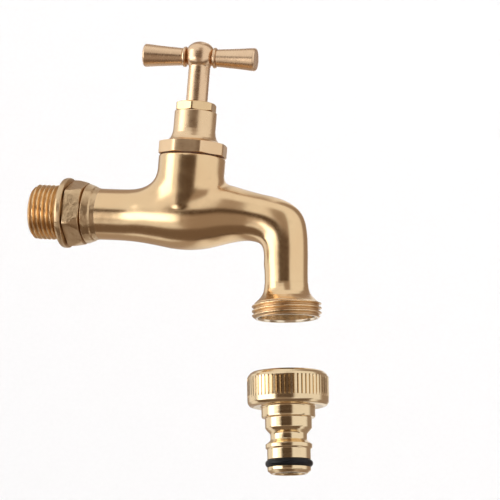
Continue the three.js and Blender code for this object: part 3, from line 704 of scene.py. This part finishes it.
def casting_mesh():
    cell = 0.62
    low = np.array([23.0, -14.6, -36.0])
    high = np.array([112.0, 14.6, 24.2])
    shape = np.ceil((high - low) / cell).astype(int) + 1
    axes = [low[m] + cell * np.arange(shape[m]) for m in range(3)]
    sweeps = [Sweep(BODY_RINGS), Sweep(INLET_WAY), Sweep(OUTLET_WAY)]
    gx, gz = np.meshgrid(axes[0], axes[2], indexing="ij")
    flat_ts = [s.nearest(gx.ravel(), gz.ravel()).reshape(gx.shape) for s in sweeps]
    x, y, z = np.meshgrid(*axes, indexing="ij")
    spread_ts = [np.broadcast_to(t[:, None, :], x.shape).ravel() for t in flat_ts]
    p = np.stack([x.ravel(), y.ravel(), z.ravel()], -1)
    field = casting_field(sweeps, p, spread_ts).reshape(shape)
    points, quads = surface_net(field, low, cell)

    def at(q):
        i = np.clip(np.round((q[:, 0] - low[0]) / cell).astype(int), 0, shape[0] - 1)
        k = np.clip(np.round((q[:, 2] - low[2]) / cell).astype(int), 0, shape[2] - 1)
        return casting_field(sweeps, q, [t[i, k] for t in flat_ts])

    def slope(q, h):
        return np.stack([(at(q + d) - at(q - d)) / (2 * h) for d in np.eye(3) * h], -1)

    for _ in range(3):
        g = slope(points, 0.05)
        step = at(points)[:, None] * g / np.maximum((g * g).sum(1), 0.2)[:, None]
        reach = np.linalg.norm(step, axis=1, keepdims=True)
        points = points - step * np.minimum(1, 0.3 / np.maximum(reach, 1e-9))
    normals = slope(points, 0.12)
    normals /= np.linalg.norm(normals, axis=1, keepdims=True) + 1e-9
    zero = np.zeros(len(points))
    return make_mesh("body_cast", points, quads, {"cavity": zero, "edge": zero}, None, normals)


# ---------------------------------------------------------------- body casting and its ends


def body_cast():
    place(casting_mesh(), "body_cast", WORLD, "tap_body", ["body_casting"], [CAST], sharp=0)


def body_inlet():
    """Thread, flange, hexagon and collar of the inlet tail, with the bore through it."""
    lathe = Lathe(columns(216, 6, INLET_HEX["turn"]))

    def limit(z):
        return min(9.05 + z * 1.1, INLET_THREAD["crest"] + 0.05, 9.1 + (11.35 - z) * 1.2)

    lathe.profile([(6.25, 0.9), (6.7, 0.15, 0.3), (8.2, 0.0), (9.0, 0.0)], slot=1)
    lathe.thread(INLET_THREAD, 0.04, 11.3, limit, slot=1)
    # The undercut is darkened with tarnish and painted shade.
    undercut = [(8.95, 11.4, 0.9), (8.9, 11.5, 0.9), (8.9, 11.9, 0.9), (8.95, 12.02, 0.9), (9.3, 12.08, 0.7)]
    for r, z, c in undercut:
        lathe.row(r, z, cavity=c)
    flange = rounded([(9.6, 12.1), (13.1, 12.1, 0.5), (13.4, 13.0, 0.6), (13.4, 14.4, 0.5), (11.7, 14.55)])
    # The flange's rim is paled a little with wear and painted highlight.
    for r, z in flange:
        lathe.row(r, z, edge=0.2 if 13.0 < r < 13.38 else 0.0)
    # The groove under the hexagon is darkened with tarnish and painted shade.
    for r, z, c in [(11.4, 14.58, 0.8), (11.2, 14.7, 1.0), (11.2, 14.85, 1.0)]:
        lathe.row(r, z, cavity=c)
    hexagon = polygon_radius(lathe.angles, 6, **INLET_HEX)
    cone = [
        (11.4, 14.9), (12.9, 15.05, 0.2), (13.2, 15.6, 0.3), (11.85, 21.05, 0.4), (11.0, 21.35),
        (10.5, 21.4),
    ]
    # Hexagon corners and chamfer edges are paled with wear and painted highlight.
    for r, z in rounded(cone, 0.3):
        cut = smooth_min(hexagon, np.full_like(hexagon, r), 0.25)
        near = np.clip(1 - np.abs(hexagon - r) / 0.35, 0, 1)
        corner = np.clip((hexagon - 12.6) / 0.3, 0, 1)
        lathe.row(cut, z, edge=np.maximum(near * (z > 16), corner * (r > 12.9)) * 0.8)
    # The groove above the hexagon is darkened with tarnish and painted shade.
    for r, z, c in [(10.4, 21.5, 1.0), (10.4, 21.75, 1.0)]:
        lathe.row(r, z, cavity=c)
    lathe.profile([
        (10.6, 21.8), (11.5, 21.82, 0.3), (11.1, 22.9, 0.6), (10.5, 24.6, 0.5), (10.05, 25.2, 0.5),
        (9.8, 26.6), (9.7, 27.4),
    ])
    lathe.profile([(9.2, 27.5), (6.3, 27.5), (6.25, 27.0), (6.25, 14.0), (6.25, 1.2)], step=2.5, slot=1)
    mesh = lathe.mesh("body_inlet", closed=True)
    place(mesh, "body_inlet", ALONG_X, "tap_body", ["body_casting"], [FORGED, MACHINED])


def body_outlet():
    """The machined end of the spout: flare, threaded ring and the open counterbore."""
    lathe = Lathe(columns(200))
    top = OUTLET_FACE + 5.9

    def limit(z):
        crest = OUTLET_THREAD["crest"] + 0.03
        return min(12.0 + (z - OUTLET_FACE) * 1.1, crest, 11.9 + (top + 0.1 - z) * 2.4)

    lathe.profile([(11.9, OUTLET_FACE + 0.02), (12.0, OUTLET_FACE + 0.06)])
    lathe.thread(OUTLET_THREAD, OUTLET_FACE + 0.1, top, limit, per_turn=16)
    lathe.profile([
        (12.0, top + 0.12), (11.55, top + 0.5, 0.5), (10.8, top + 1.2, 2.0), (9.85, top + 2.2, 3.0),
        (8.95, top + 3.6, 4.0), (8.5, top + 5.1, 4.0), (8.32, top + 6.6), (8.29, top + 7.2, 0.05),
        (8.12, top + 7.3),
    ], step=0.5, slot=2)
    lathe.profile([(7.0, top + 7.4), (6.0, top + 7.4, 0.2), (5.9, top + 6.0)], slot=1)
    lathe.profile([
        (5.9, top + 3.4), (5.9, OUTLET_FACE + 6.1, 0.4), (10.75, OUTLET_FACE + 4.3, 0.5),
        (10.8, OUTLET_FACE + 0.8, 0.3), (11.1, OUTLET_FACE + 0.08, 0.1), (11.25, OUTLET_FACE),
        (11.75, OUTLET_FACE),
    ], step=0.8, slot=1)
    mesh = lathe.mesh("body_outlet", closed=True)
    place(mesh, "body_outlet", ON_OUTLET, "tap_body", ["body_casting"], [OUTLET, MOUTH, CAST])


# ---------------------------------------------------------------- bonnet and gland


def bonnet():
    """Thread into the neck, octagon, sleeve, and the stuffing box and spindle thread inside."""
    flat_top = BONNET_OCTAGON["top"]
    lathe = Lathe(columns(192, 8, BONNET_OCTAGON["turn"]))
    lathe.profile([(6.4, 12.6), (8.2, 12.6), (8.9, 12.75)])

    def male(z):
        return min(8.9 + (z - 12.6), 10.02, 8.9 + (22.75 - z) * 1.2)

    lathe.thread(BONNET_THREAD, 12.8, 22.7, male, per_turn=8)
    # The joint under the octagon is darkened: tarnish and painted shade in the gap.
    lathe.profile([(8.9, 22.75), (8.9, 23.55), (9.3, 23.58)], cavity=0.8)
    octagon = polygon_radius(
        lathe.angles, 8, BONNET_OCTAGON["across"], BONNET_OCTAGON["turn"], BONNET_OCTAGON["corner"])
    head = [
        (10.2, 23.58), (12.6, 23.6, 0.1), (13.1, 23.75, 0.1), (13.9, 24.0), (13.9, flat_top - 0.35),
        (12.3, flat_top - 0.05, 0.3), (10.7, flat_top + 0.2, 1.0), (9.6, flat_top + 0.8, 1.4),
        (8.8, flat_top + 1.9, 1.8), (8.25, flat_top + 3.5, 1.8), (8.05, flat_top + 5.0, 1.0), (8.05, 36.0),
    ]
    # Octagon corners and chamfer edges are paled with wear and painted highlight.
    for r, z in rounded(head, 0.3):
        cut = smooth_min(octagon, np.full_like(octagon, r), 0.15)
        near = np.clip(1 - np.abs(octagon - r) / 0.3, 0, 1)
        corner = np.clip((octagon - 13.15) / 0.25, 0, 1)
        wear_and_highlight = np.maximum(near, corner * (r > 13.1)) * 0.55
        lathe.row(cut, z, edge=wear_and_highlight, slot=1 if z < flat_top else 0)
    lathe.profile([(8.05, 38.0), (8.05, 40.6, 0.35), (6.9, 40.6, 0.1), (6.75, 40.5)], step=1.0)

    def bound(z):
        return max(6.0, 6.75 - (40.5 - z) * 1.2)

    lathe.thread(GLAND_THREAD, 40.45, 36.1, bound, THREAD_CLEARANCE, per_turn=8, inside=True)
    lathe.profile([
        (5.5, 36.0), (5.4, 35.9), (5.4, 30.5), (5.3, 30.4), (4.3, 30.4), (4.22, 30.3), (4.22, 27.9),
        (4.9, 27.1),
    ])
    lathe.thread(SPINDLE_THREAD, 27.0, 16.0, lambda z: 5.0, THREAD_CLEARANCE, per_turn=10, inside=True)
    lathe.profile([(5.9, 15.8), (6.4, 15.6), (6.4, 12.75)])
    mesh = lathe.mesh("bonnet_part", closed=True)
    place(mesh, "bonnet_part", ON_STEM, "tap_body", ["bonnet"], [BONNET, MILLED])


def gland_nut():
    lathe = Lathe(columns(144, 6, GLAND_HEX["turn"], math.radians(6)))
    lathe.profile([(4.22, 36.7), (4.4, 36.6), (5.5, 36.6), (5.7, 36.7)])
    lathe.thread(GLAND_THREAD, 36.75, 40.3, lambda z: min(5.7 + (z - 36.6) * 1.2, 6.52), per_turn=8)
    # The groove under the hexagon is darkened with tarnish and painted shade.
    lathe.profile([(5.8, 40.4), (5.8, 40.72)], cavity=0.8)
    hexagon = polygon_radius(lathe.angles, 6, **GLAND_HEX)
    head = [
        (6.2, 40.75), (7.3, 40.77, 0.1), (7.9, 41.0, 0.1), (8.7, 41.2), (8.7, 43.25), (7.1, 44.0, 0.3),
        (6.5, 44.2, 0.25), (5.2, 44.2),
    ]
    # Hexagon corners and edges are paled with wear and painted highlight.
    for r, z in rounded(head, 0.2):
        cut = smooth_min(hexagon, np.full_like(hexagon, r), 0.18)
        near = np.clip(1 - np.abs(hexagon - r) / 0.25, 0, 1)
        corner = np.clip((hexagon - 7.75) / 0.15, 0, 1)
        lathe.row(cut, z, edge=np.maximum(near, corner * (r > 7.8)) * 0.7)
    lathe.profile([(4.6, 44.2), (4.3, 44.15, 0.05), (4.22, 43.9), (4.22, 37.0)], step=1.5)
    mesh = lathe.mesh("gland_nut_part", closed=True)
    place(mesh, "gland_nut_part", ON_STEM, "tap_body", ["gland_nut"], [TURNED])


# ---------------------------------------------------------------- spindle and handle


def boss_points(count, start_radius):
    """The boss from the shank up: a swelling, a short straight and a domed crown."""
    radius, crown = BOSS["radius"], BOSS["crown"]
    first = math.asin(start_radius / radius)
    low = [first + (math.pi / 2 - first) * i / count for i in range(count + 1)]
    high = [math.pi / 2 * i / count for i in range(count + 1)]
    return ([(radius * math.sin(a), BOSS["bottom"] - crown * math.cos(a)) for a in low]
            + [(radius * math.cos(a), BOSS["top"] + crown * math.sin(a)) for a in high])


def spindle():
    """Jumper socket, thread, shank, and the boss with its two flats for the arms."""
    lathe = Lathe(columns(144))
    lathe.profile([
        (0.0, 19.7), (3.15, 18.6, 0.1), (3.2, 18.4), (3.2, 16.4), (3.95, 16.4), (3.95, 15.2), (3.2, 15.2),
        (3.2, 8.0, 0.15), (4.4, 8.0, 0.3), (4.8, 8.6), (4.8, 9.4),
    ])

    def limit(z):
        return min(4.9 + (z - 9.5), 6.02, 4.9 + (22.3 - z))

    lathe.thread(SPINDLE_THREAD, 9.6, 22.2, limit, per_turn=12)
    lathe.profile([(4.7, 22.4), (SHANK, 22.8, 0.3), (SHANK, 30.0), (SHANK, 57.8)], step=3.0)
    for r, z in boss_points(20, 4.2)[:-1]:
        across = np.hypot(r * np.sin(lathe.angles - ARM_TURN), z - ARM_HEIGHT)
        along = np.abs(np.cos(lathe.angles - ARM_TURN)) + 1e-6
        seat = np.where(across < 4.0, 5.2 / along, 99.0)
        lathe.row(np.minimum(r, seat), z)
    lathe.row(0.0, BOSS["top"] + BOSS["crown"])
    mesh = lathe.mesh("spindle_part", closed=False)
    place(mesh, "spindle_part", ON_STEM, "spindle_and_handle", ["spindle"], [HANDLE],
          weld=True)


def handle_arm(name, node, turn):
    """A turned arm: stud, neck darkened with tarnish and painted shade, bead and a taper that swells to its
    rounded end, which carries a painted highlight ring.
    """
    lathe = Lathe(columns(128))
    lathe.row(0.0, 1.4)
    lathe.profile([
        (1.6, 1.4), (1.9, 1.7), (1.9, 4.9), (3.2, 5.25, 0.1), (3.6, 5.3, 0.1), (3.9, 5.5, 0.2),
        (3.97, 5.95, 0.3), (3.75, 6.35, 0.2), (3.1, 6.5, 0.08), (3.1, 6.68, 0.06), (3.32, 6.8, 0.1),
        (3.4, 8.0, 2.0), (3.64, 11.8, 10.0), (3.93, 15.8, 10.0), (4.27, 19.6, 6.0),
        (4.42, 21.35, 0.4), (4.0, 21.95, 0.4), (2.8, 21.95, 0.3),
    ], step=1.2)
    lathe.row(1.3, 21.92)
    lathe.row(0.0, 21.9)
    # The neck's grooves are darkened with tarnish and painted shade, and a ring by the rounded end is paled
    # as a painted highlight.
    for i, (r, z) in enumerate(zip(lathe.radii, lathe.heights)):
        groove = max(np.exp(-((z[0] - 6.6) / 0.16) ** 2), np.exp(-((z[0] - 5.1) / 0.2) ** 2))
        lathe.cavity[i] = 0.6 * groove * np.ones_like(r)
        lathe.edge[i] = 0.8 * np.exp(-((z[0] - 21.65) / 0.22) ** 2) * np.ones_like(r)
    turned = Matrix.Rotation(ARM_TURN + turn, 4, "Z")
    placement = ON_STEM @ Matrix.Translation((0, 0, ARM_HEIGHT * MM)) @ turned @ ALONG_X
    mesh = lathe.mesh(name, closed=False)
    place(mesh, name, placement, "spindle_and_handle", [node], [HANDLE], weld=True)


# ---------------------------------------------------------------- hose connector


def hose_connector():
    """Tail with its O-ring groove, neck, knurled collar, and the female thread inside it."""
    lathe = Lathe(columns(KNURL["ribs"] * KNURL["columns"]))
    rib = lathe.angles * KNURL["ribs"] / (2 * np.pi)
    rib = 1 - np.abs(2 * (rib - np.floor(rib)) - 1)
    rib_wave = smoothstep(0.06, 0.40, rib)
    lathe.profile([
        (5.75, -38.45), (6.0, -38.6, 0.15), (6.8, -38.6, 0.3), (8.1, -37.5, 0.4), (8.2, -36.9),
        (8.2, -36.15, 0.1), (6.05, -36.15, 0.1), (6.05, -33.25, 0.1), (8.2, -33.25, 0.1),
        (8.2, -29.4, 0.3), (8.8, -28.8, 0.25), (8.8, -27.5, 0.35), (7.4, -26.4, 0.6), (6.9, -25.8, 0.5),
        (6.9, -23.6, 0.9), (8.1, -22.3, 0.5), (8.8, -21.35, 0.5), (8.8, -17.6, 0.25), (10.0, -17.4, 0.3),
        (10.15, -16.8, 0.3), (10.15, -13.1, 0.5), (13.2, -13.3, 0.7), (14.6, -12.9, 0.7),
        (15.3, -11.8, 0.8), (15.38, -10.9), (15.38, -10.15),
    ], step=0.9)
    # The knurl's grooves are darkened with tarnish and painted shade, its lands' edges paled with wear and
    # painted highlight.
    for z in np.concatenate([[-10.0, -9.9], np.linspace(-9.75, -2.65, 8), [-2.5, -2.4]]):
        share = min(smoothstep(-10.02, -9.75, z), 1 - smoothstep(-2.65, -2.38, z))
        radius = KNURL["radius"] - KNURL["depth"] * (1 - rib_wave) * share
        lathe.row(radius, z, cavity=(1 - rib_wave) * share, edge=rib_wave**3 * share * 0.8)
    lathe.profile([
        (15.3, -2.2), (15.0, -1.55, 0.4), (14.2, -0.6, 0.8), (13.4, -0.08, 0.5), (13.0, 0.0), (12.95, -0.02),
    ])
    lathe.heights = [h + CONNECTOR_RIM for h in lathe.heights]
    mouth, floor = CONNECTOR_RIM - 0.1, CONNECTOR_RIM - 7.9

    def bound(z):
        return max(12.3, 12.95 - (mouth - z) * 0.6)

    lathe.thread(OUTLET_THREAD, mouth, floor, bound, THREAD_CLEARANCE, per_turn=12, inside=True)
    under = Lathe(lathe.angles)
    under.profile([
        (12.9, -8.1), (13.46, -8.2, 0.1), (13.46, -10.4, 0.1), (9.4, -10.4, 0.1), (9.4, -10.8, 0.2),
        (5.3, -15.5, 0.3), (5.2, -16.0), (5.2, -37.9, 0.2), (5.7, -38.4),
    ], step=2.5)
    for key in ("radii", "cavity", "edge", "slots"):
        getattr(lathe, key).extend(getattr(under, key))
    lathe.heights.extend(h + CONNECTOR_RIM for h in under.heights)
    mesh = lathe.mesh("connector_part", closed=True)
    place(mesh, "connector_part", ON_OUTLET, "connector", ["hose_connector"], [BRIGHT])


def connector_washer():
    lathe = Lathe(columns(128))
    low = CONNECTOR_RIM - 10.3
    high = low + 2.3
    lathe.profile([
        (9.0, low), (12.9, low, 0.3), (12.9, high, 0.3), (7.0, high, 0.3), (7.0, low, 0.3), (8.9, low),
    ])
    mesh = lathe.mesh("connector_washer_part", closed=True)
    place(mesh, "connector_washer_part", ON_OUTLET, "connector_seal", ["connector_washer"],
          [RUBBER])


def o_ring():
    lathe = Lathe(columns(128))
    for a in np.linspace(0, 2 * np.pi, 28, endpoint=False):
        across, rise = O_RING["section"] * math.cos(a), O_RING["section"] * math.sin(a)
        lathe.row(O_RING["radius"] + across, CONNECTOR_RIM + O_RING["centre"] + rise)
    mesh = lathe.mesh("connector_o_ring_part", closed=True)
    place(mesh, "connector_o_ring_part", ON_OUTLET, "connector", ["connector_o_ring"], [RUBBER])


body_cast()
body_inlet()
body_outlet()
bonnet()
gland_nut()
spindle()
handle_arm("handle_arm_right_part", "handle_arm_right", 0.0)
handle_arm("handle_arm_left_part", "handle_arm_left", math.pi)
hose_connector()
connector_washer()
o_ring()

# The pieces that are hidden or nearly so keep their CAD shape.
for node, material in {
    "bonnet_gasket": FIBRE, "gland_follower": TURNED, "packing_ring_lower": PACKING,
    "packing_ring_middle": PACKING, "packing_ring_upper": PACKING, "jumper_clip": STEEL,
    "jumper": TURNED, "valve_washer": RUBBER, "washer_nut": TURNED,
}.items():
    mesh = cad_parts[node].data
    mesh.materials.clear()
    mesh.materials.append(material)

# ---------------------------------------------------------------- camera, stage and light

# The lens sees the tap from two metres away, slightly from below and turned a little clockwise.
# The camera looks along its angles, from this far to the right of the inlet and above it, in metres.
CAMERA = {
    "azimuth": 17.2, "elevation": -7.2, "roll": 4.48, "lens": 375.1, "sensor": 36,
    "distance": 2.0, "right": 0.082519, "up": -0.014719,
}


def add_camera():
    a, e, roll = (math.radians(CAMERA[k]) for k in ("azimuth", "elevation", "roll"))
    back = Vector((math.sin(a) * math.cos(e), -math.cos(a) * math.cos(e), math.sin(e)))
    level = Vector((math.cos(a), math.sin(a), 0))
    rise = back.cross(level)
    right = level * math.cos(roll) + rise * math.sin(roll)
    up = -level * math.sin(roll) + rise * math.cos(roll)
    data = bpy.data.cameras.new("camera")
    data.sensor_width = CAMERA["sensor"]
    data.lens = CAMERA["lens"]
    data.clip_start, data.clip_end = 0.05, 20
    camera = bpy.data.objects.new("camera", data)
    position = back * CAMERA["distance"] + right * CAMERA["right"] + up * CAMERA["up"]
    turn = Matrix((right, up, back)).transposed().to_4x4()
    camera.matrix_world = Matrix.Translation(position) @ turn
    bpy.context.scene.collection.objects.link(camera)
    bpy.context.scene.camera = camera


def plane(name, size, location, rotation, material):
    """A sheet of the stage. The metal reflects the world and not the paper."""
    x, y = size[0] / 2, size[1] / 2
    corners = [(-x, -y, 0), (x, -y, 0), (x, y, 0), (-x, y, 0)]
    mesh = bpy.data.meshes.new(name)
    mesh.from_pydata(corners, [], [(0, 1, 2, 3)])
    mesh.materials.append(material)
    obj = bpy.data.objects.new(name, mesh)
    obj.location = location
    obj.rotation_euler = rotation
    obj.visible_glossy = False
    bpy.context.scene.collection.objects.link(obj)


def paper(name, colour):
    n = Nodes(name)
    grain = n.noise(n.coordinates, 300.0, 3.0, 0.5)
    tint = n.mix(n.remap(grain, 0.3, 0.7), (*colour, 1), (*[c * 0.985 for c in colour], 1))
    return n.finish(tint, 0.9, 0.0)


def room_light():
    """A wide lamp over the stage, for the paper only."""
    data = bpy.data.lights.new("room_light", "AREA")
    data.shape = "RECTANGLE"
    data.size, data.size_y = LAMP["size"]
    data.energy = LAMP["power"]
    light = bpy.data.objects.new("room_light", data)
    light.location = (0, 0, LAMP["height"])
    light.visible_glossy = False
    light.visible_camera = False
    bpy.context.scene.collection.objects.link(light)


def studio_world():
    """What the metal reflects: a white room with two bright panels on the left, and the dark of the
    room round the camera, under the tap and behind it."""
    world = bpy.data.worlds.new("world")
    world.use_nodes = True
    bpy.context.scene.world = world
    g = Graph(world.node_tree)
    output = g.tree.nodes.new("ShaderNodeOutputWorld")
    background = g.tree.nodes.new("ShaderNodeBackground")
    g.link(background.outputs[0], output.inputs["Surface"])
    x, y, z = g.parts(g.tree.nodes.new("ShaderNodeTexCoord").outputs["Generated"])
    forward = g.math("MULTIPLY", y, -1.0)
    azimuth = g.math("MULTIPLY", g.math("ARCTAN2", x, forward), math.degrees(1))
    rise = g.math("MULTIPLY", g.math("ARCSINE", z), math.degrees(1))
    tilt = g.math("MULTIPLY", g.math("ARCTAN2", z, forward), math.degrees(1))
    light = ROOM_BRIGHTNESS

    def darkened(light, zone, depth):
        return g.math("MULTIPLY", light, g.math("SUBTRACT", 1.0, g.math("MULTIPLY", zone, depth)))

    for low, high, soft, depth in DARK_TILTS:
        light = darkened(light, g.zone(tilt, low, high, soft), depth)
    for low, high, soft, depth in DARK_AZIMUTHS:
        light = darkened(light, g.zone(azimuth, low, high, soft), depth)
    for az, el, soft, depth in DARK_PATCHES:
        patch = g.math("MULTIPLY", g.zone(azimuth, *az, soft), g.zone(rise, *el, soft))
        light = darkened(light, patch, depth)
    for az, el, soft, power in PANELS:
        patch = g.math("MULTIPLY", g.zone(azimuth, *az, soft), g.zone(rise, *el, soft))
        light = g.math("ADD", light, g.math("MULTIPLY", patch, power))
    g.link(light, background.inputs["Strength"])
    tint = g.mix(g.remap(light, *TINT_RANGE), (*DARK_TINT, 1), (*LIGHT_TINT, 1))
    g.link(tint, background.inputs["Color"])


# Directions in degrees: azimuth from the front towards the right, height, and tilt from the front
# over the top. Each zone has its limits, its soft margin, and how much it takes away or adds.
ROOM_BRIGHTNESS = 0.92
DARK_TILTS = [(-97.0, -55.0, 7.0, 0.80)]
DARK_AZIMUTHS = [(128.0, 170.0, 14.0, 0.62), (-158.0, -132.0, 12.0, 0.55)]
DARK_PATCHES = [
    ((-18.0, 29.0), (0.0, 13.0), 7.0, 0.90), ((5.0, 29.0), (20.0, 52.0), 9.0, 0.60),
    ((-28.0, -18.0), (5.0, 12.0), 4.0, 0.78), ((-18.0, 29.0), (-50.0, -5.0), 6.0, 0.62),
]
PANELS = [((-76.0, -50.0), (-22.0, 24.0), 5.0, 1.7), ((-44.0, -25.0), (-20.0, -1.0), 6.0, 1.7)]

# The dark of the room is brown, the light nearly white. The range is the brightness between them.
LIGHT_TINT = (1.0, 0.985, 0.965)
DARK_TINT = (1.0, 0.66, 0.43)
TINT_RANGE = (0.06, 0.75)

# The paper walls, in metres, stand further off than any camera.
WALL = 2.7
FLOOR = -1.3
WALL_HEIGHT = 5.0
WALLS = {"back": (0, 1), "front": (0, -1), "left": (-1, 0), "right": (1, 0)}
LAMP = {"size": (4.0, 4.0), "height": 2.4, "power": 85}

add_camera()
studio_world()
white = paper("paper_white", (0.90, 0.90, 0.905))
plane("floor", (2 * WALL, 2 * WALL), (0, 0, FLOOR), (0, 0, 0), white)
for side, (away_x, away_y) in WALLS.items():
    upright = (math.radians(90), 0, math.radians(90) * away_x)
    centre = (away_x * WALL, away_y * WALL, FLOOR + WALL_HEIGHT / 2)
    plane("backdrop_" + side, (2 * WALL, WALL_HEIGHT), centre, upright, white)
room_light()
bpy.context.scene.view_settings.view_transform = "Standard"

bpy.context.view_layer.update()
